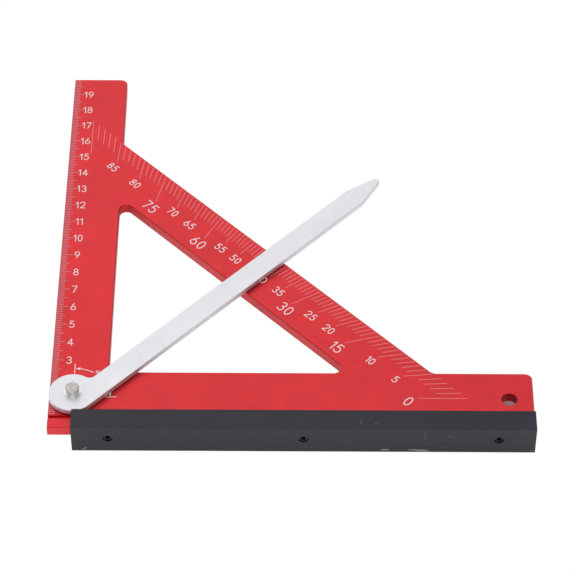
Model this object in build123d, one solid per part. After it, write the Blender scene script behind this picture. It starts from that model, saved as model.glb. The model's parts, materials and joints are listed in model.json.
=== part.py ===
"""Woodworking set square: an angle plate with a fence and a swinging arm.

The drawing origin is where the ruled edge meets the fence's working face,
on the plate's top face: +X runs along the fence, +Y along the ruled edge.
PLACE moves every piece from there to the part's own frame, whose origin is
the middle of the bounding box's base.
"""
from build123d import *
import math
import os

# Driving dimensions, millimetres and degrees.
PLATE_THICK = 5.0
RULED_LENGTH = 200.0      # ruled edge, from the fence face to the far end
BASE_LENGTH = 200.0       # plate along the fence
BAND = 24.0               # width of the ruled arm and of the sloping band
BASE_BAND = 23.6          # base arm, from the fence face
SLOPE_REACH = 182.3       # x + y along the sloping band's outer edge
TONGUE = 6.5              # plate in front of the fence face, inside the fence
TONGUE_THICK = 4.6        # stepped underneath, so a shoulder meets the fence
GROOVE_WIDTH = 1.6
GROOVE_DEPTH = 1.2
PLATE_CHAMFER = 0.3
ARM_END_RADIUS = 3.0      # inner corner at the far end of either arm
FAR_CORNER_RADIUS = 0.6   # ruled edge's far corner
SLOPE_TOP_RADIUS = 0.8    # where the ruled arm meets the sloping band
SLOPE_FOOT_RADIUS = 4.0   # where the sloping band meets the base arm
WINDOW_RADIUS = 3.0

HOLE_X, HOLE_Y = 190.0, 9.6
HOLE_RADIUS = 3.25
HOLE_CHAMFER = 0.15

FENCE_START, FENCE_END = 10.0, 200.1
FENCE_DEPTH = 10.0
FENCE_TOP = 4.3           # above the plate's top face
FENCE_BOTTOM = -10.4
FENCE_WALL = 2.8          # in front of the slot
FENCE_CHAMFER = 0.15
SLOT_CLEARANCE = 0.05
HOOK_WIDTH = 1.5
HOOK_DEPTH = 1.0

GRUB_RADIUS = 2.0         # M4
GRUB_LENGTH = 3.0
GRUB_INSET = 15.0         # outer grub screws from the fence's ends
GRUB_PITCH = 80.0
GRUB_SOCKET = 2.0         # across flats
GRUB_SOCKET_DEPTH = 1.4
GRUB_TIP_CHAMFER = 0.6
GRUB_FACE_CHAMFER = 0.1

PIVOT_X, PIVOT_Y = 9.8, 10.0
ARM_ANGLE = 45.6          # arm at rest, from the fence
ARM_WIDTH = 9.8           # also the disc's radius
ARM_THICK = 2.5
ARM_TAPER_START = 163.0
ARM_SHOULDER_RADIUS = 6.0 # where the taper starts
ARM_TIP_RADIUS = 1.6
ARM_LENGTH = 178.0
ARM_THROAT_RADIUS = 3.0
ARM_CHAMFER = 0.15

FRICTION_WASHER_THICK = 0.4
FRICTION_WASHER_RADIUS = 6.0
TOP_WASHER_THICK = 0.5
TOP_WASHER_RADIUS = 3.5
PIN_RADIUS = 2.5
PIN_HEAD_RADIUS = 2.95
PIN_HEAD_TOP = 6.0        # above the plate's top face
PIN_HEAD_ROUND = 0.35
PIN_DEPTH = 2.5           # shank inside the plate
RUNNING_GAP = 0.05
AXIAL_GAP = 0.02

SCREW_RADIUS = 1.5        # M3
SCREW_HEAD_RADIUS = 3.0
SCREW_HEAD_DEPTH = 1.7
SCREW_REACH = 6.5
SCREW_SOCKET = 2.0
SCREW_SOCKET_DEPTH = 1.0

# Sizes worked out from those above.
ARM_BASE = FRICTION_WASHER_THICK + AXIAL_GAP
ARM_TOP = ARM_BASE + ARM_THICK
TOP_WASHER_BASE = ARM_TOP + AXIAL_GAP
HEAD_BASE = TOP_WASHER_BASE + TOP_WASHER_THICK
SLOT_FRONT = -FENCE_DEPTH + FENCE_WALL
TONGUE_STEP = PLATE_THICK - TONGUE_THICK
PLACE = Pos(-FENCE_END / 2, -(RULED_LENGTH - FENCE_DEPTH) / 2, -FENCE_BOTTOM)
PIVOT = Pos(PIVOT_X, PIVOT_Y, 0)


def corner_at(sketch, x, y):
    """The sketch's vertex nearest to a point."""
    return min(sketch.vertices(), key=lambda v: math.hypot(v.X - x, v.Y - y))


def round_corner(sketch, x, y, radius):
    """The sketch with the corner nearest to a point rounded."""
    return fillet(corner_at(sketch, x, y), radius)


def disc(radius, low, high):
    """An upright cylinder on the pivot's axis between two heights."""
    return Pos(0, 0, low) * Cylinder(
        radius, high - low, align=(Align.CENTER, Align.CENTER, Align.MIN)
    )


def hex_socket(flats, depth):
    """A hexagonal prism that reaches up from z = 0."""
    return extrude(RegularPolygon(flats / 2, 6, major_radius=False), depth)


def break_edges(solid, size):
    """The solid with the edges of its top and bottom faces chamfered."""
    faces = solid.faces().sort_by(Axis.Z)
    return chamfer(faces[0].edges() + faces[-1].edges(), size)


def screw_head():
    """The countersunk head's cone, its flat face at z = 0."""
    return Pos(0, 0, SCREW_HEAD_DEPTH / 2) * Cone(
        SCREW_HEAD_RADIUS, SCREW_RADIUS, SCREW_HEAD_DEPTH
    )


def hanging_hole():
    """What the hanging hole takes away: a bore with chamfered rims."""
    rim = HOLE_RADIUS + HOLE_CHAMFER
    section = Polyline(
        (0, 0), (rim, 0), (HOLE_RADIUS, -HOLE_CHAMFER),
        (HOLE_RADIUS, HOLE_CHAMFER - PLATE_THICK), (rim, -PLATE_THICK),
        (0, -PLATE_THICK), close=True,
    )
    return Pos(HOLE_X, HOLE_Y) * revolve(Plane.XZ * make_face(section), Axis.Z)


def square_plate():
    """The plate: three equal bands round a triangular window, and a tongue."""
    outline = make_face(Polyline(
        (0, -TONGUE), (0, RULED_LENGTH), (BAND, RULED_LENGTH),
        (BAND, SLOPE_REACH - BAND), (SLOPE_REACH - BASE_BAND, BASE_BAND),
        (BASE_LENGTH, BASE_BAND), (BASE_LENGTH, -TONGUE), close=True,
    ))
    slope_top = (BAND, SLOPE_REACH - BAND)
    slope_foot = (SLOPE_REACH - BASE_BAND, BASE_BAND)
    outline = round_corner(outline, BAND, RULED_LENGTH, ARM_END_RADIUS)
    outline = round_corner(outline, BASE_LENGTH, BASE_BAND, ARM_END_RADIUS)
    outline = round_corner(outline, 0, RULED_LENGTH, FAR_CORNER_RADIUS)
    outline = round_corner(outline, *slope_top, SLOPE_TOP_RADIUS)
    outline = round_corner(outline, *slope_foot, SLOPE_FOOT_RADIUS)

    window_reach = SLOPE_REACH - BAND * math.sqrt(2)
    window = make_face(Polyline(
        (BAND, BASE_BAND), (BAND, window_reach - BAND),
        (window_reach - BASE_BAND, BASE_BAND), close=True,
    ))
    window = fillet(window.vertices(), WINDOW_RADIUS)
    plate = extrude(outline - window, -PLATE_THICK)
    plate = break_edges(plate, PLATE_CHAMFER) - hanging_hole()

    groove = Pos(BASE_LENGTH / 2, -GROOVE_WIDTH / 2, 0) * Box(
        BASE_LENGTH + 2, GROOVE_WIDTH, 2 * GROOVE_DEPTH
    )
    step = Pos(BASE_LENGTH / 2, -TONGUE / 2, -PLATE_THICK) * Box(
        BASE_LENGTH + 2, TONGUE, 2 * TONGUE_STEP
    )
    pivot_hole = disc(PIN_RADIUS, -PIN_DEPTH, 1)
    screw_hole = disc(SCREW_RADIUS, -PLATE_THICK - 1, 1)
    sink = Pos(0, 0, -PLATE_THICK) * screw_head()
    return plate - groove - step - PIVOT * (pivot_hole + screw_hole + sink)


def grub_places():
    """Where the grub screws cross the fence's front wall."""
    middle_height = -PLATE_THICK / 2
    for turn in range(3):
        x = FENCE_START + GRUB_INSET + turn * GRUB_PITCH
        yield Pos(x, -TONGUE, middle_height) * Rot(90, 0, 0)


def fence():
    """The fence: a slotted bar whose upper jaw hooks into the plate's groove."""
    middle = (FENCE_TOP + FENCE_BOTTOM) / 2
    section = Pos(-FENCE_DEPTH / 2, middle) * Rectangle(
        FENCE_DEPTH, FENCE_TOP - FENCE_BOTTOM
    )
    section = chamfer(section.vertices(), FENCE_CHAMFER)
    slot = Pos(SLOT_FRONT, -TONGUE_THICK) * Rectangle(
        FENCE_DEPTH, TONGUE_THICK + SLOT_CLEARANCE, align=(Align.MIN, Align.MIN)
    )
    jaw_relief = make_face(Polyline(
        (0, -PLATE_THICK), (0, -TONGUE_THICK), (-TONGUE_STEP, -TONGUE_THICK), close=True
    ))
    hook = Pos(-GROOVE_WIDTH, -HOOK_DEPTH) * Rectangle(
        HOOK_WIDTH, HOOK_DEPTH + 2 * SLOT_CLEARANCE, align=(Align.MIN, Align.MIN)
    )
    profile = section - slot - jaw_relief + hook
    along_x = Plane(origin=(FENCE_START, 0, 0), x_dir=(0, 1, 0), z_dir=(1, 0, 0))
    bar = extrude(along_x * profile, FENCE_END - FENCE_START)
    for place in grub_places():
        bar -= place * disc(GRUB_RADIUS + SLOT_CLEARANCE, -1, FENCE_DEPTH)
    return bar


def grub_screw():
    """One socket set screw, its tip at z = 0 and its socket facing up."""
    body = disc(GRUB_RADIUS, 0, GRUB_LENGTH)
    body = chamfer(body.faces().sort_by(Axis.Z)[0].edges(), GRUB_TIP_CHAMFER)
    body = chamfer(body.faces().sort_by(Axis.Z)[-1].edges(), GRUB_FACE_CHAMFER)
    socket = hex_socket(GRUB_SOCKET, GRUB_SOCKET_DEPTH + 1)
    return body - Pos(0, 0, GRUB_LENGTH - GRUB_SOCKET_DEPTH) * socket


def swing_arm():
    """The arm: its measuring edge runs straight out from the pivot's centre."""
    middle = -ARM_WIDTH / 2
    tip_centre = (ARM_LENGTH - ARM_TIP_RADIUS, middle)
    run = math.hypot(tip_centre[0] - ARM_TAPER_START, middle)
    lean = math.atan2(-middle, tip_centre[0] - ARM_TAPER_START)
    turn = math.asin(ARM_TIP_RADIUS / run)
    reach = run * math.cos(turn)
    tangent_x = ARM_TAPER_START + reach * math.cos(lean - turn)
    tangent_y = -reach * math.sin(lean - turn)
    blade = make_face(
        Polyline(
            (tangent_x, tangent_y), (ARM_TAPER_START, 0), (0, 0),
            (0, -ARM_WIDTH), (ARM_TAPER_START, -ARM_WIDTH),
            (tangent_x, -ARM_WIDTH - tangent_y),
        )
        + ThreePointArc(
            (tangent_x, -ARM_WIDTH - tangent_y), (ARM_LENGTH, middle),
            (tangent_x, tangent_y),
        )
    )
    outline = Circle(ARM_WIDTH) + blade
    outline = round_corner(outline, ARM_WIDTH, 0, ARM_THROAT_RADIUS)
    outline = round_corner(outline, ARM_TAPER_START, 0, ARM_SHOULDER_RADIUS)
    outline = round_corner(outline, ARM_TAPER_START, -ARM_WIDTH, ARM_SHOULDER_RADIUS)
    outline -= Circle(PIN_RADIUS + RUNNING_GAP)
    arm = Pos(0, 0, ARM_BASE) * extrude(outline, ARM_THICK)
    return break_edges(arm, ARM_CHAMFER)


def washer(outer, low, thick):
    """A plain washer round the pivot pin."""
    ring = disc(outer, low, low + thick)
    return ring - disc(PIN_RADIUS + RUNNING_GAP, low - 1, low + thick + 1)


def pivot_pin():
    """The headed pin: the arm turns on its shank, and it is tapped from below."""
    head = disc(PIN_HEAD_RADIUS, HEAD_BASE, PIN_HEAD_TOP)
    head = fillet(head.faces().sort_by(Axis.Z)[-1].edges(), PIN_HEAD_ROUND)
    pin = head + disc(PIN_RADIUS, -PIN_DEPTH, HEAD_BASE)
    return pin - disc(SCREW_RADIUS, -PIN_DEPTH - 1, SCREW_REACH - PLATE_THICK)


def pivot_screw():
    """The countersunk screw that holds the pin from the plate's underside."""
    screw = screw_head() + disc(SCREW_RADIUS, 0, SCREW_REACH)
    screw -= hex_socket(SCREW_SOCKET, SCREW_SOCKET_DEPTH)
    return Pos(0, 0, -PLATE_THICK) * screw


def pieces():
    """Every piece by name, where it lies in the part's own frame."""
    yield "square_plate", PLACE * square_plate()
    yield "fence", PLACE * fence()
    for name, place in zip(("left", "middle", "right"), grub_places()):
        yield f"grub_screw_{name}", PLACE * place * grub_screw()
    yield "swing_arm", PLACE * PIVOT * Rot(0, 0, ARM_ANGLE) * swing_arm()
    friction = washer(FRICTION_WASHER_RADIUS, 0, FRICTION_WASHER_THICK)
    yield "friction_washer", PLACE * PIVOT * friction
    top = washer(TOP_WASHER_RADIUS, TOP_WASHER_BASE, TOP_WASHER_THICK)
    yield "top_washer", PLACE * PIVOT * top
    yield "pivot_pin", PLACE * PIVOT * pivot_pin()
    yield "pivot_screw", PLACE * PIVOT * pivot_screw()


os.makedirs("parts", exist_ok=True)
for node, shape in pieces():
    export_step(shape, f"parts/{node}.step")
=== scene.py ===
"""The looks of a woodworking set square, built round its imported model.

Sizes on the plate are millimetres from the scale's zero, where the ruled edge
meets the fence's working face: x runs along the fence, y along the ruled edge.
on_plate() turns them into the frame's metres.
"""
import json
import math

import bmesh
import bpy
from mathutils import Matrix, Vector


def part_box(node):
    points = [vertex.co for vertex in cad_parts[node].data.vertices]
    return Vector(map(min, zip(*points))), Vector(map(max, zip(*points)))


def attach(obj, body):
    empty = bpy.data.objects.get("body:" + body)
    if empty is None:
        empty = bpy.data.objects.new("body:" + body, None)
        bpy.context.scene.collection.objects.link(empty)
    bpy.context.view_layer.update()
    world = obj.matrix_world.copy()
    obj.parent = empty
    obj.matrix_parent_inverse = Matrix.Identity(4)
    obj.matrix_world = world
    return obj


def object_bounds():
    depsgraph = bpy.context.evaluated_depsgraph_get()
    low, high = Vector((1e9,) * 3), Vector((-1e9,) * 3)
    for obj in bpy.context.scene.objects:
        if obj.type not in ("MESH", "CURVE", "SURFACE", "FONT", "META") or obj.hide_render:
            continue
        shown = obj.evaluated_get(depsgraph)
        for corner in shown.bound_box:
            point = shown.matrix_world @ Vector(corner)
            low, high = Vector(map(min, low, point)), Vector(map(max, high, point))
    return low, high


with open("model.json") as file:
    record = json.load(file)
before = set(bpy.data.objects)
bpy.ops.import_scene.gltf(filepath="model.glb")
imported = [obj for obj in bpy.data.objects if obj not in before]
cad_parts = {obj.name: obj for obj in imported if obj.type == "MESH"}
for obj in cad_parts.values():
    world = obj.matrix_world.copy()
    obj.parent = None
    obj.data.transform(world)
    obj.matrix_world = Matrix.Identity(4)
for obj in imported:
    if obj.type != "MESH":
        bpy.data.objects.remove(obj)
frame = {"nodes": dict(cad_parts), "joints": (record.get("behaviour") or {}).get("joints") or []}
cad_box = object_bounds()
MM = 0.001

# Places read from the frame.
plate_low, plate_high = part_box("square_plate")
fence_low, fence_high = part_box("fence")
ZERO = Vector((plate_low.x, fence_high.y, plate_high.z))
PIVOT = (Vector(frame["joints"][0]["pos_m"]) - ZERO) / MM

# The plate's outline, as far as the scales need it.
RULED_LENGTH = (plate_high.y - fence_high.y) / MM
SLOPE_REACH = 182.3       # x + y along the sloping band's outer edge
FENCE_HEIGHT = fence_high.z - fence_low.z

# Scratches on the fence: x and height above its foot at both ends, half width,
# and how bare they are. The height runs on across the top from the front edge.
SCRATCHES = [
    ((13.9, 0.6), (16.4, 2.1), 0.32, 0.55),
    ((136.6, 1.3), (140.4, 1.5), 0.4, 0.9),
    ((147.4, 1.4), (156.6, 1.2), 0.36, 0.9),
    ((151.0, 0.7), (158.0, 0.5), 0.25, 0.6),
    ((154.9, 13.4), (154.6, 7.3), 0.16, 0.22),
    ((155.2, 5.8), (157.0, 4.0), 0.16, 0.2),
    ((163.2, 11.4), (167.2, 8.9), 0.16, 0.25),
    ((128.4, 16.2), (128.5, 20.9), 0.16, 0.22),
    ((133.8, 17.4), (135.6, 17.6), 0.25, 0.3),
]
SCRATCH_FADE = 0.3        # share of its length from its middle, where a scratch starts to fade
SCUFF_REACH = 0.3         # share of the fence's height that the scuffs reach

# Painted marks.
MARK_RISE = 0.015         # paint above the plate's face
MARK_SINK = 0.05          # paint below it
MARK_LAYER = 0.003        # a later stroke of one figure lies this much higher
MARK_LAYERS = 3           # and after this many it starts low again
CAP_STEPS = 5             # flat sides to a stroke's round end
MITRE_LIMIT = 0.5         # keeps a sharp corner's outer side from running far out
CLOSED_GAP = 1e-6         # a line that ends this near its start is a loop
TICK_WIDTH = 0.2
RULER_TICK_WIDTH = 0.28
RULER_FIGURE_WIDTH = 0.37
SMALL_LABEL_WIDTH = 0.39
LARGE_LABEL_WIDTH = 0.45
INDEX_WIDTH = 0.32

RULER_START = 0.45
RULER_TICKS = {10: 4.8, 5: 3.9, 1: 2.7}
RULER_FIGURE_X = {1: 7.1, 2: 6.85}   # by the number of digits
RULER_FIGURE_DROP = 0.1   # the figures sit this far below their marks
RULER_FIGURE_HEIGHT = 3.55

QUARTER = 90              # degrees on the angle scale
LABEL_STEP, LARGE_STEP = 5, 15
ANGLE_TICKS = {15: 14.2, 5: 9.75, 1: 6.75}
EDGE_GAP = 0.75           # tick to the sloping edge
OPEN_GAP = -0.25          # where the edge's line runs on across an arm
EDGE_FIRST, EDGE_LAST = 5, 85
SMALL_LABEL_DEPTH, SMALL_LABEL_HEIGHT = 13.35, 3.4
LARGE_LABEL_DEPTH, LARGE_LABEL_HEIGHT = 18.15, 4.7
SMALL_LABEL_PUSH = (-0.65, 0.03)    # away from the middle: fixed, and by distance
LARGE_LABEL_PUSH = (0.6, 0.018)
STRAY_LABELS = {40: -1.1, 45: 1.2}  # down the slope from where the rule puts them

INDEX_RADIUS = 15.35
INDEX_TICK = (11.5, 17.8)           # from one radius to another
INDEX_ARC = ((90, 59), (31, 0))     # both arcs, from one angle to another
INDEX_ARC_STEPS = 12
ARROW_LENGTH, ARROW_HALF_WIDTH = 2.2, 0.7
INDEX_LABEL = (21.0, 22.95)
INDEX_LABEL_HEIGHT = 2.3
INDEX_LABEL_WIDTH = 0.32


class Graph:
    """A material's node tree, with a short way to add and join nodes."""

    def __init__(self, name, **sockets):
        self.material = bpy.data.materials.new(name)
        self.material.use_nodes = True
        self.tree = self.material.node_tree
        self.shader = self.tree.nodes["Principled BSDF"]
        self.set(self.shader, sockets)
        coordinates = self.tree.nodes.new("ShaderNodeTexCoord")
        self.place = coordinates.outputs["Object"]

    def set(self, node, sockets):
        """Gives sockets a value, or joins them to another node's output."""
        for key, value in sockets.items():
            name = key.replace("_", " ") if isinstance(key, str) else key
            socket = node.inputs[name]
            if isinstance(value, bpy.types.NodeSocket):
                self.tree.links.new(value, socket)
            else:
                socket.default_value = value

    def stretched(self, x, y, z):
        """Object coordinates, scaled along each axis."""
        node = self.tree.nodes.new("ShaderNodeMapping")
        self.set(node, {"Vector": self.place, "Scale": (x, y, z)})
        return node.outputs["Vector"]

    def noise(self, scale, detail=2.0, vector=None):
        """A grey noise between 0 and 1; scale is in features per metre."""
        node = self.tree.nodes.new("ShaderNodeTexNoise")
        self.set(node, {"Vector": vector or self.place, "Scale": scale, "Detail": detail})
        return node.outputs["Fac"]

    def remap(self, value, low, high, to_low=0.0, to_high=1.0):
        """value from low..high to to_low..to_high, smoothly and clamped."""
        node = self.tree.nodes.new("ShaderNodeMapRange")
        node.interpolation_type = "SMOOTHSTEP"
        self.set(node, {"Value": value, "From Min": low, "From Max": high})
        self.set(node, {"To Min": to_low, "To Max": to_high})
        return node.outputs["Result"]

    def maths(self, operation, first, second=0.0):
        """One arithmetic step on numbers or outputs."""
        node = self.tree.nodes.new("ShaderNodeMath")
        node.operation = operation
        self.set(node, {0: first, 1: second})
        return node.outputs[0]

    def mix(self, share, first, second):
        """A colour between two others."""
        node = self.tree.nodes.new("ShaderNodeMix")
        node.data_type = "RGBA"
        self.set(node, {0: share, 6: first, 7: second})
        return node.outputs[2]

    def axis(self, output, which):
        """One component of a vector output."""
        node = self.tree.nodes.new("ShaderNodeSeparateXYZ")
        self.set(node, {"Vector": output})
        return node.outputs[which]

    def facing(self, which):
        """How far the surface faces along one axis, from -1 to 1."""
        geometry = self.tree.nodes.new("ShaderNodeNewGeometry")
        return self.axis(geometry.outputs["Normal"], which)

    def bevels(self):
        """1 on faces that slope between level and upright, 0 elsewhere."""
        level = self.maths("ABSOLUTE", self.facing("Z"))
        off_level = self.remap(level, 0.9, 0.99, 1.0, 0.0)
        off_upright = self.remap(level, 0.1, 0.4)
        return self.maths("MULTIPLY", off_level, off_upright)

    def scratch(self, start, end, half_width):
        """1 along a line measured up the fence's front and on across its top.

        Its foot and back take the same measure, so a line can show there too.
        """
        first, last = Vector(start) * MM, Vector(end) * MM
        way, length = (last - first).normalized(), (last - first).length
        x = self.maths("SUBTRACT", self.axis(self.place, "X"), ZERO.x + first.x)
        up = self.maths("SUBTRACT", self.axis(self.place, "Z"), fence_low.z + first.y)
        back = self.maths("SUBTRACT", self.axis(self.place, "Y"), fence_low.y)
        up = self.maths("ADD", up, back)
        along = self.maths("ADD", self.maths("MULTIPLY", x, way.x), self.maths("MULTIPLY", up, way.y))
        off = self.maths("MULTIPLY", up, way.x)
        off = self.maths("ABSOLUTE", self.maths("SUBTRACT", off, self.maths("MULTIPLY", x, way.y)))
        middle = self.maths("ABSOLUTE", self.maths("SUBTRACT", along, length / 2))
        within = self.remap(middle, length * SCRATCH_FADE, length * 0.5, 1.0, 0.0)
        across = self.remap(off, half_width * MM / 2, half_width * MM, 1.0, 0.0)
        return self.maths("MULTIPLY", within, across)

    def bump(self, height, strength, distance, normal=None):
        """A surface relief from a height; distance is its depth in metres."""
        node = self.tree.nodes.new("ShaderNodeBump")
        self.set(node, {"Height": height, "Strength": strength, "Distance": distance})
        if normal is not None:
            self.set(node, {"Normal": normal})
        return node.outputs["Normal"]

    def finish(self, **sockets):
        """Joins the last sockets of the shader and returns the material."""
        self.set(self.shader, sockets)
        return self.material


def red_anodised():
    """Dyed oxide over bead-blasted aluminium, its chamfers painted darker as shade unless they face
    front.
    """
    g = Graph("red_anodised", Metallic=1.0, Coat_Weight=0.85, Coat_Roughness=0.4)
    cloud = g.noise(28, 3)
    patch = g.noise(160, 4)
    grain = g.noise(5200, 2)
    body = g.mix(g.remap(cloud, 0.3, 0.7), (0.645, 0.004, 0.010, 1), (0.685, 0.006, 0.013, 1))
    fleck = g.maths("MULTIPLY", g.remap(grain, 0.62, 0.78), 0.1)
    body = g.mix(fleck, body, (0.8, 0.04, 0.05, 1))
    # Painted shade: chamfers that don't face front are painted a darker red, more in some places than
    # others.
    painted_edge_shade = g.maths("MULTIPLY", g.bevels(), g.remap(g.noise(420, 5), 0.4, 0.75, 0.8, 0.5))
    painted_edge_shade = g.maths("MULTIPLY", painted_edge_shade, g.remap(g.facing("Y"), -0.4, -0.1))
    colour = g.mix(painted_edge_shade, body, (0.42, 0.025, 0.045, 1))
    rough = g.maths("ADD", g.remap(patch, 0.25, 0.75, 0.4, 0.5), fleck)
    relief = g.bump(grain, 0.25, 0.00003)
    return g.finish(Base_Color=colour, Roughness=rough, Normal=relief)


def black_anodised():
    """An extruded bar: die lines along its length, scuffs low down, and scratches."""
    g = Graph("black_anodised")
    lines = g.noise(1, 3, g.stretched(18, 5200, 5200))
    cloud = g.noise(45, 3)
    grain = g.noise(6500, 2)
    body = g.mix(g.remap(cloud, 0.3, 0.7), (0.004, 0.003, 0.012, 1), (0.007, 0.006, 0.017, 1))
    body = g.mix(g.remap(lines, 0.58, 0.75, 0.0, 0.2), body, (0.05, 0.05, 0.058, 1))
    height = g.axis(g.place, "Z")
    low = g.remap(height, fence_low.z, fence_low.z + SCUFF_REACH * FENCE_HEIGHT, 1.0, 0.0)
    where = g.remap(g.noise(38, 2), 0.56, 0.66)
    marks = g.remap(g.noise(1, 4, g.stretched(260, 900, 1500)), 0.6, 0.68)
    scuff = g.maths("MULTIPLY", g.maths("MULTIPLY", low, where), marks)
    bared = g.maths("MULTIPLY", g.bevels(), g.remap(g.noise(500, 5), 0.62, 0.76, 0.02, 0.2))
    wear = g.maths("MAXIMUM", g.maths("MULTIPLY", scuff, 0.4), bared)
    ragged = g.remap(g.noise(1400, 3), 0.3, 0.55, 0.25, 1.0)
    for start, end, half_width, bare in SCRATCHES:
        line = g.maths("MULTIPLY", g.scratch(start, end, half_width), ragged)
        wear = g.maths("MAXIMUM", wear, g.maths("MULTIPLY", line, bare))
    colour = g.mix(wear, body, (0.42, 0.41, 0.42, 1))
    rough = g.remap(lines, 0.25, 0.75, 0.4, 0.52)
    relief = g.bump(lines, 0.18, 0.00002)
    relief = g.bump(grain, 0.15, 0.00002, relief)
    return g.finish(Base_Color=colour, Roughness=rough, Normal=relief)


def silver_anodised():
    """Bead-blasted aluminium under clear oxide, its chamfers painted lighter as a highlight."""
    g = Graph("silver_anodised", Metallic=0.75)
    cloud = g.noise(35, 3)
    grain = g.noise(1400, 1)
    body = g.mix(g.remap(cloud, 0.3, 0.7), (0.82, 0.815, 0.84, 1), (0.87, 0.86, 0.89, 1))
    # Painted highlight: the chamfers are painted lighter.
    painted_edge_highlight = g.maths("MULTIPLY", g.bevels(), 0.7)
    colour = g.mix(painted_edge_highlight, body, (0.95, 0.95, 0.96, 1))
    rough = g.remap(grain, 0.3, 0.7, 0.46, 0.54)
    relief = g.bump(grain, 0.05, 0.00003)
    return g.finish(Base_Color=colour, Roughness=rough, Normal=relief)


def nickel_plate():
    """Turned steel under nickel, its top face painted darker than its sides as shade, the sides a
    lighter lit tone.
    """
    g = Graph("nickel_plate", Metallic=1.0)
    centre = Vector(frame["joints"][0]["pos_m"])
    shift = g.tree.nodes.new("ShaderNodeVectorMath")
    shift.operation = "SUBTRACT"
    g.set(shift, {0: g.place, 1: tuple(centre)})
    rings = g.tree.nodes.new("ShaderNodeTexWave")
    rings.wave_type = "RINGS"
    rings.rings_direction = "Z"
    g.set(rings, {"Vector": shift.outputs[0], "Scale": 900.0, "Distortion": 1.5})
    stain = g.noise(900, 4)
    # Painted shade and light: the top face gets the darker, stained tone below, and the sides a
    # lighter lit one.
    dull = g.mix(g.remap(stain, 0.3, 0.7), (0.305, 0.27, 0.25, 1), (0.415, 0.38, 0.36, 1))
    shaded_top_mask = g.remap(g.facing("Z"), 0.9, 0.99)
    colour = g.mix(shaded_top_mask, (0.66, 0.63, 0.61, 1), dull)
    rough = g.remap(g.noise(2500, 3), 0.3, 0.7, 0.1, 0.22)
    relief = g.bump(rings.outputs["Fac"], 0.12, 0.00002)
    return g.finish(Base_Color=colour, Roughness=rough, Normal=relief)


def bright_steel():
    """Bright steel with fine marks that all run one way."""
    g = Graph("bright_steel", Metallic=1.0)
    rubbed = g.noise(1, 4, g.stretched(2600, 300, 300))
    colour = g.mix(g.remap(rubbed, 0.3, 0.7), (0.8, 0.79, 0.78, 1), (0.88, 0.87, 0.86, 1))
    rough = g.remap(g.noise(1800, 3), 0.3, 0.7, 0.3, 0.42)
    relief = g.bump(rubbed, 0.1, 0.00002)
    return g.finish(Base_Color=colour, Roughness=rough, Normal=relief)


def black_oxide():
    """Blackened steel screws, unevenly dull."""
    g = Graph("black_oxide", Metallic=0.8)
    mottle = g.noise(1500, 4)
    colour = g.mix(g.remap(mottle, 0.3, 0.7), (0.022, 0.022, 0.025, 1), (0.06, 0.06, 0.065, 1))
    rough = g.remap(g.noise(3000, 3), 0.35, 0.7, 0.3, 0.45)
    relief = g.bump(mottle, 0.15, 0.00002)
    return g.finish(Base_Color=colour, Roughness=rough, Normal=relief)


def nylon():
    """Natural nylon, slightly translucent."""
    g = Graph("nylon", Roughness=0.5, Subsurface_Weight=0.1)
    mottle = g.noise(700, 3)
    colour = g.mix(g.remap(mottle, 0.3, 0.7), (0.6, 0.58, 0.52, 1), (0.7, 0.68, 0.62, 1))
    relief = g.bump(g.noise(5000, 2), 0.1, 0.00002)
    return g.finish(Base_Color=colour, Normal=relief)


def paint(name, thick, thin, cover):
    """Paint left in an engraved line, thinner in places."""
    g = Graph(name, Roughness=0.55)
    mottle = g.noise(2600, 4)
    colour = g.mix(g.remap(mottle, 0.35, 0.35 + cover), thin, thick)
    relief = g.bump(g.noise(6000, 2), 0.2, 0.00002)
    return g.finish(Base_Color=colour, Normal=relief)


def on_plate(x, y, height=0.0):
    """A point on the plate's top face, or that many millimetres above it."""
    return ZERO + Vector((x, y, height)) * MM


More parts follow.
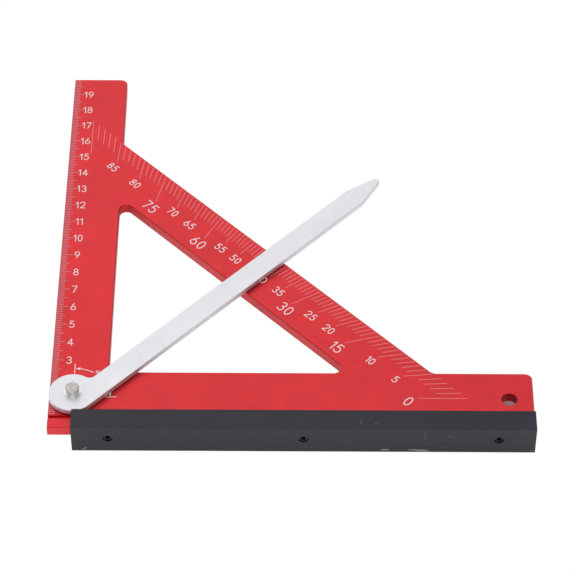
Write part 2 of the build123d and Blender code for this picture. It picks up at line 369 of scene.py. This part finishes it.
class Marks:
    """Painted strokes on the plate, gathered into one piece."""

    def __init__(self, name):
        self.name = name
        self.mesh = bmesh.new()

    def prism(self, ring, layer=0):
        """A closed flat solid over a convex outline, given anticlockwise."""
        top = MARK_RISE + layer * MARK_LAYER
        upper = [self.mesh.verts.new(on_plate(x, y, top)) for x, y in ring]
        lower = [self.mesh.verts.new(on_plate(x, y, -MARK_SINK)) for x, y in ring]
        self.mesh.faces.new(upper)
        self.mesh.faces.new(reversed(lower))
        for i in range(len(ring)):
            j = (i + 1) % len(ring)
            self.mesh.faces.new((upper[j], upper[i], lower[i], lower[j]))

    def stroke(self, points, width, layer=0):
        """A strip along a line of points: round ends, or a closed loop."""
        closed = math.dist(points[0], points[-1]) < CLOSED_GAP
        line = [Vector(p) for p in (points[:-1] if closed else points)]
        sides = edges_of(line, width / 2, closed)
        top = MARK_RISE + layer * MARK_LAYER
        rows = []
        for left, right in sides:
            rows.append([
                self.mesh.verts.new(on_plate(left.x, left.y, top)),
                self.mesh.verts.new(on_plate(right.x, right.y, top)),
                self.mesh.verts.new(on_plate(right.x, right.y, -MARK_SINK)),
                self.mesh.verts.new(on_plate(left.x, left.y, -MARK_SINK)),
            ])
        spans = list(zip(rows, rows[1:] + rows[:1]))
        for near, far in spans if closed else spans[:-1]:
            for i in range(4):
                j = (i + 1) % 4
                self.mesh.faces.new((near[i], near[j], far[j], far[i]))
        if not closed:
            self.cap(rows[0], line[0], line[0] - line[1], width / 2, top)
            self.cap(rows[-1], line[-1], line[-1] - line[-2], width / 2, top)

    def cap(self, row, centre, outward, radius, top):
        """The half-round end of a strip, from one side of it to the other."""
        along = outward.normalized()
        across = Vector((-along.y, along.x))
        rim = [
            centre + radius * (across * math.cos(turn) + along * math.sin(turn))
            for turn in (math.pi * step / CAP_STEPS for step in range(1, CAP_STEPS))
        ]
        left = (row[0].co.xy - on_plate(*centre).xy).dot(across) > 0
        first, last = (row[0], row[1]) if left else (row[1], row[0])
        first_low, last_low = (row[3], row[2]) if left else (row[2], row[3])
        high = [self.mesh.verts.new(on_plate(p.x, p.y, top)) for p in rim]
        low = [self.mesh.verts.new(on_plate(p.x, p.y, -MARK_SINK)) for p in rim]
        upper, lower = [first, *high, last], [first_low, *low, last_low]
        self.mesh.faces.new(upper)
        self.mesh.faces.new(lower)
        for i in range(len(upper) - 1):
            self.mesh.faces.new((upper[i], upper[i + 1], lower[i + 1], lower[i]))

    def write(self, text, centre, height, width, angle=0.0):
        """A number centred on a point, its baseline turned by an angle."""
        strokes, length = number_strokes(text)
        turn = Matrix.Rotation(angle, 2)
        for layer, line in enumerate(strokes):
            moved = []
            for x, y in line:
                offset = turn @ Vector((x - length / 2, y - 0.5)) * height
                moved.append((centre[0] + offset.x, centre[1] + offset.y))
            self.stroke(moved, width, layer % MARK_LAYERS)

    def piece(self, material):
        """The finished object, riding with the plate."""
        bmesh.ops.recalc_face_normals(self.mesh, faces=self.mesh.faces)
        made = bpy.data.meshes.new(self.name)
        self.mesh.to_mesh(made)
        self.mesh.free()
        made.materials.append(material)
        obj = bpy.data.objects.new(self.name, made)
        bpy.context.scene.collection.objects.link(obj)
        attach(obj, "square")
        return obj


def edges_of(line, half, closed):
    """For each point of a line, the strip's left and right edge points."""
    count = len(line)
    pairs = []
    for i, point in enumerate(line):
        before = line[i - 1] if closed or i > 0 else None
        after = line[(i + 1) % count] if closed or i < count - 1 else None
        into = (point - before).normalized() if before is not None else None
        out = (after - point).normalized() if after is not None else None
        into, out = into or out, out or into
        middle = (into + out).normalized()
        normal = Vector((-middle.y, middle.x))
        reach = half / max(MITRE_LIMIT, normal.dot(Vector((-into.y, into.x))))
        pairs.append((point + normal * reach, point - normal * reach))
    return pairs


def arc(centre, radii, start, end, steps=14):
    """Points along part of an ellipse, from one angle in degrees to another."""
    points = []
    for i in range(steps + 1):
        turn = math.radians(start + (end - start) * i / steps)
        points.append((
            centre[0] + radii[0] * math.cos(turn), centre[1] + radii[1] * math.sin(turn),
        ))
    return points


def half_turn(lines, width):
    """Strokes of a figure turned upside down within its height of 1."""
    return [[(width - x, 1 - y) for x, y in line] for line in lines]


# Engraver's figures: width and stroke lines of each, for a height of 1.
SIX = [
    arc((0.28, 0.28), (0.28, 0.28), 90, 450, 22),
    [(0.0375, 0.42), (0.37, 1.0)],
]
FIGURES = {
    "0": (0.5, [arc((0.25, 0.5), (0.25, 0.5), 90, 450, 26)]),
    "1": (0.22, [[(0.22, 1.0), (0.22, 0.0)], [(0.0, 0.78), (0.22, 1.0)]]),
    "2": (0.56, [
        arc((0.28, 0.72), (0.28, 0.28), 170, -42) + [(0.0, 0.0)],
        [(0.0, 0.0), (0.56, 0.0)],
    ]),
    "3": (0.54, [
        arc((0.26, 0.755), (0.24, 0.245), 150, -90),
        arc((0.26, 0.255), (0.28, 0.255), 90, -150),
    ]),
    "4": (0.6, [
        [(0.42, 1.0), (0.0, 0.28)], [(0.0, 0.28), (0.6, 0.28)], [(0.42, 1.0), (0.42, 0.0)],
    ]),
    "5": (0.54, [
        [(0.5, 1.0), (0.12, 1.0)],
        [(0.12, 1.0), (0.064, 0.565)],
        arc((0.25, 0.32), (0.29, 0.32), 130, -150),
    ]),
    "6": (0.56, SIX),
    "7": (0.54, [[(0.0, 1.0), (0.54, 1.0)], [(0.54, 1.0), (0.16, 0.0)]]),
    "8": (0.54, [
        arc((0.27, 0.76), (0.22, 0.24), 90, 450, 20),
        arc((0.27, 0.26), (0.27, 0.26), 90, 450, 20),
    ]),
    "9": (0.56, half_turn(SIX, 0.56)),
    "°": (0.3, [arc((0.15, 0.85), (0.15, 0.15), 90, 450, 12)]),
}
FIGURE_GAP = 0.3


def number_strokes(text):
    """All strokes of a number and its width, for a height of 1."""
    strokes, x = [], 0.0
    for sign in text:
        width, lines = FIGURES[sign]
        strokes += [[(x + px, py) for px, py in line] for line in lines]
        x += width + FIGURE_GAP
    return strokes, x - FIGURE_GAP


def longest(table, number):
    """The entry of the largest divisor of a number among the table's keys."""
    return next(table[step] for step in sorted(table, reverse=True) if number % step == 0)


def ruler_ticks():
    """Millimetre marks along the ruled edge."""
    marks = Marks("ruler_ticks")
    for mark in range(1, round(RULED_LENGTH)):
        ends = [(RULER_START, mark), (longest(RULER_TICKS, mark), mark)]
        marks.stroke(ends, RULER_TICK_WIDTH)
    return marks


def ruler_figures():
    """Centimetre figures beside the ruler's long marks."""
    marks = Marks("ruler_figures")
    for centimetre in range(1, round(RULED_LENGTH / 10)):
        text = str(centimetre)
        centre = (RULER_FIGURE_X[len(text)], 10 * centimetre - RULER_FIGURE_DROP)
        marks.write(text, centre, RULER_FIGURE_HEIGHT, RULER_FIGURE_WIDTH)
    return marks


def along_ray(degrees, depth):
    """The point on an angle's ray that far inside the sloping edge's line."""
    turn = math.radians(degrees)
    ray = Vector((math.cos(turn), math.sin(turn)))
    reach = SLOPE_REACH - depth * math.sqrt(2) - PIVOT.x - PIVOT.y
    return PIVOT.xy + ray * (reach / (ray.x + ray.y))


def angle_ticks():
    """One mark for each degree, pointing at the pivot."""
    marks = Marks("angle_ticks")
    for degrees in range(QUARTER + 1):
        gap = EDGE_GAP if EDGE_FIRST <= degrees <= EDGE_LAST else OPEN_GAP
        outer = along_ray(degrees, gap)
        inner = along_ray(degrees, longest(ANGLE_TICKS, degrees))
        marks.stroke([tuple(outer), tuple(inner)], TICK_WIDTH)
    return marks


def angle_figures():
    """Figures every five degrees, larger every fifteen, along the slope."""
    marks = Marks("angle_figures")
    down_slope = Vector((1, -1)).normalized()
    for degrees in range(0, QUARTER, LABEL_STEP):
        large = degrees % LARGE_STEP == 0
        depth = LARGE_LABEL_DEPTH if large else SMALL_LABEL_DEPTH
        height = LARGE_LABEL_HEIGHT if large else SMALL_LABEL_HEIGHT
        width = LARGE_LABEL_WIDTH if large else SMALL_LABEL_WIDTH
        fixed, share = LARGE_LABEL_PUSH if large else SMALL_LABEL_PUSH
        centre = along_ray(degrees, depth)
        place = centre.dot(down_slope)
        push = share * place + (0 if degrees == 45 else fixed * math.copysign(1, place))
        centre = centre + down_slope * (push + STRAY_LABELS.get(degrees, 0.0))
        marks.write(str(degrees), centre, height, width, -math.pi / 4)
    return marks


def round_pivot(degrees, radius):
    """A point round the pivot, at an angle from the fence."""
    turn = math.radians(degrees)
    return (PIVOT.x + radius * math.cos(turn), PIVOT.y + radius * math.sin(turn))


def index_marks():
    """The quarter turn drawn round the pivot: two ticks, arcs and arrowheads."""
    marks = Marks("index_marks")
    for degrees in (0, QUARTER):
        ends = [round_pivot(degrees, radius) for radius in INDEX_TICK]
        marks.stroke(ends, INDEX_WIDTH)
    swept = math.degrees(ARROW_LENGTH / INDEX_RADIUS)
    for start, end in INDEX_ARC:
        tip = start if start == QUARTER else end
        inward = -1 if tip == QUARTER else 1
        back = tip + inward * swept
        rim = [round_pivot(tip + inward, INDEX_RADIUS),
               round_pivot(back, INDEX_RADIUS + ARROW_HALF_WIDTH),
               round_pivot(back, INDEX_RADIUS - ARROW_HALF_WIDTH)]
        marks.prism(rim if inward > 0 else rim[::-1], 1)
        far = end if tip == QUARTER else start
        line = [
            round_pivot(back + (far - back) * i / INDEX_ARC_STEPS, INDEX_RADIUS)
            for i in range(INDEX_ARC_STEPS + 1)
        ]
        marks.stroke(line, INDEX_WIDTH)
    marks.write("90°", INDEX_LABEL, INDEX_LABEL_HEIGHT, INDEX_LABEL_WIDTH)
    return marks


def make_marks():
    """Every painted mark, as pieces that ride with the plate."""
    dense = paint("paint_white", (0.97, 0.96, 0.95, 1), (0.93, 0.88, 0.87, 1), 0.3)
    lean = paint("paint_thin", (0.95, 0.42, 0.43, 1), (0.9, 0.34, 0.35, 1), 0.3)
    grey = paint("paint_grey", (0.53, 0.36, 0.43, 1), (0.47, 0.3, 0.36, 1), 0.3)
    ruler_ticks().piece(grey)
    angle_ticks().piece(lean)
    index_marks().piece(dense)
    ruler_figures().piece(dense)
    angle_figures().piece(dense)


# Where the camera stands, seen from the plate's top face.
AIM = on_plate(98.33, 71.14)
VIEW_AZIMUTH = math.radians(0.184)
VIEW_ELEVATION = math.radians(47.77)
VIEW_ROLL = math.radians(0.123)
VIEW_DISTANCE = 1.1611
SENSOR = 36.0
LENS = 169.62
CLIP_END = 50.0


def make_camera():
    """The camera, at the picture's viewing angle."""
    data = bpy.data.cameras.new("camera")
    data.sensor_width = SENSOR
    data.lens = LENS
    data.clip_end = CLIP_END
    back = Vector((
        math.sin(VIEW_AZIMUTH) * math.cos(VIEW_ELEVATION),
        -math.cos(VIEW_AZIMUTH) * math.cos(VIEW_ELEVATION),
        math.sin(VIEW_ELEVATION),
    ))
    turned = back.to_track_quat("Z", "Y").to_matrix().to_4x4()
    roll = Matrix.Rotation(VIEW_ROLL, 4, "Z")
    camera = bpy.data.objects.new("camera", data)
    camera.matrix_world = Matrix.Translation(AIM + back * VIEW_DISTANCE) @ turned @ roll
    bpy.context.scene.collection.objects.link(camera)
    bpy.context.scene.camera = camera


FLOOR_SIZE = 12.0
FLOOR_GLOW = 0.5          # what the object gets from the floor round it
INNER_GLOW = 0.29         # from the floor within the plate's box
UNDER_GLOW = 0.05         # from the floor under the fence and base arm
SEEN_GLOW = 1.0           # what the camera sees instead, but for that last zone
BASE_BAND = 23.6          # how far that zone reaches, just short of the base arm's edge
FLOOR_GAP = 0.05          # the floor lies this far below the lowest face


def outside(g, low_x, high_x, low_y, high_y):
    """0 on the floor within a rectangle, 1 elsewhere."""
    x, y = g.axis(g.place, "X"), g.axis(g.place, "Y")
    inside = g.maths("GREATER_THAN", x, low_x)
    for test in (
        g.maths("LESS_THAN", x, high_x),
        g.maths("GREATER_THAN", y, low_y),
        g.maths("LESS_THAN", y, high_y),
    ):
        inside = g.maths("MULTIPLY", inside, test)
    return g.maths("SUBTRACT", 1.0, inside)


def make_floor():
    """A floor that the camera sees evenly white, and that lights the object by zones.

    Under the fence and base arm the camera sees the real, shaded floor.
    """
    mesh = bmesh.new()
    bmesh.ops.create_grid(mesh, x_segments=2, y_segments=2, size=FLOOR_SIZE / 2)
    data = bpy.data.meshes.new("floor")
    mesh.to_mesh(data)
    mesh.free()
    floor = bpy.data.objects.new("floor", data)
    floor.location.z = cad_box[0].z - FLOOR_GAP * MM
    bpy.context.scene.collection.objects.link(floor)
    g = Graph("floor_white", Roughness=0.7, Specular_IOR_Level=0.1)
    g.set(g.shader, {"Emission Color": (1, 1, 1, 1)})
    camera_ray = g.tree.nodes.new("ShaderNodeLightPath").outputs["Is Camera Ray"]
    shaded = outside(g, fence_low.x, plate_high.x, fence_low.y, ZERO.y + BASE_BAND * MM)
    around = outside(g, plate_low.x, plate_high.x, plate_low.y, plate_high.y)
    seen = g.maths("MULTIPLY", camera_ray, shaded)
    glow = g.remap(around, 0.0, 1.0, INNER_GLOW, FLOOR_GLOW)
    glow = g.remap(shaded, 0.0, 1.0, UNDER_GLOW, glow)
    glow = g.remap(seen, 0.0, 1.0, glow, SEEN_GLOW)
    tone = g.mix(g.remap(g.noise(2, 2), 0.3, 0.7), (0.78, 0.78, 0.78, 1), (0.8, 0.8, 0.8, 1))
    tone = g.mix(seen, tone, (0, 0, 0, 1))
    data.materials.append(g.finish(Base_Color=tone, Emission_Strength=glow))


def soft_light(name, place, size, watts):
    """A large area light aimed at the middle of the square."""
    data = bpy.data.lights.new(name, "AREA")
    data.shape = "RECTANGLE"
    data.size, data.size_y = size
    data.energy = watts
    light = bpy.data.objects.new(name, data)
    place = Vector(place)
    light.matrix_world = (
        Matrix.Translation(AIM + place) @ place.to_track_quat("Z", "Y").to_matrix().to_4x4()
    )
    bpy.context.scene.collection.objects.link(light)


HORIZON_LIGHT, SKY_LIGHT = 0.12, 0.455
SKY_HEIGHT = 0.5          # the sine of the angle where the full light starts


def make_world():
    """Soft light from above, dim at the horizon; plain white to the camera itself."""
    world = bpy.data.worlds.new("surroundings")
    world.use_nodes = True
    tree = world.node_tree
    ground = tree.nodes["Background"]
    ground.inputs["Color"].default_value = (0.97, 0.98, 1.0, 1)
    direction = tree.nodes.new("ShaderNodeTexCoord").outputs["Generated"]
    parts = tree.nodes.new("ShaderNodeSeparateXYZ")
    rise = tree.nodes.new("ShaderNodeMapRange")
    rise.inputs["From Max"].default_value = SKY_HEIGHT
    rise.inputs["To Min"].default_value = HORIZON_LIGHT
    rise.inputs["To Max"].default_value = SKY_LIGHT
    tree.links.new(direction, parts.inputs[0])
    tree.links.new(parts.outputs["Z"], rise.inputs["Value"])
    tree.links.new(rise.outputs[0], ground.inputs["Strength"])
    white = tree.nodes.new("ShaderNodeBackground")
    white.inputs["Color"].default_value = (1, 1, 1, 1)
    white.inputs["Strength"].default_value = 1.0
    path = tree.nodes.new("ShaderNodeLightPath")
    choice = tree.nodes.new("ShaderNodeMixShader")
    tree.links.new(path.outputs["Is Camera Ray"], choice.inputs[0])
    tree.links.new(ground.outputs[0], choice.inputs[1])
    tree.links.new(white.outputs[0], choice.inputs[2])
    tree.links.new(choice.outputs[0], tree.nodes["World Output"].inputs[0])
    bpy.context.scene.world = world


def make_lights():
    """Broad lights overhead and behind, for the top faces, and weaker fill lights."""
    soft_light("overhead", (-0.1, 0.25, 1.5), (2.2, 1.8), 5.9)
    soft_light("back", (-0.7, 1.4, 1.3), (2.3, 1.4), 7.4)
    soft_light("left", (-1.2, 0.3, 0.9), (1.2, 1.2), 1.6)
    soft_light("front", (0.0, -1.1, 1.2), (1.3, 0.8), 3.4)


# Which material each part of the frame gets.
FINISHES = {
    "square_plate": red_anodised,
    "fence": black_anodised,
    "grub_screw_left": black_oxide,
    "grub_screw_middle": black_oxide,
    "grub_screw_right": black_oxide,
    "swing_arm": silver_anodised,
    "friction_washer": nylon,
    "top_washer": bright_steel,
    "pivot_pin": nickel_plate,
    "pivot_screw": nickel_plate,
}


def dress_frame():
    """Gives every node of the frame its own finish."""
    made = {make: make() for make in set(FINISHES.values())}
    for node, make in FINISHES.items():
        slots = frame["nodes"][node].data.materials
        slots.clear()
        slots.append(made[make])


make_camera()
make_world()
make_lights()
make_floor()
dress_frame()
make_marks()
bpy.context.scene.view_settings.view_transform = "Standard"
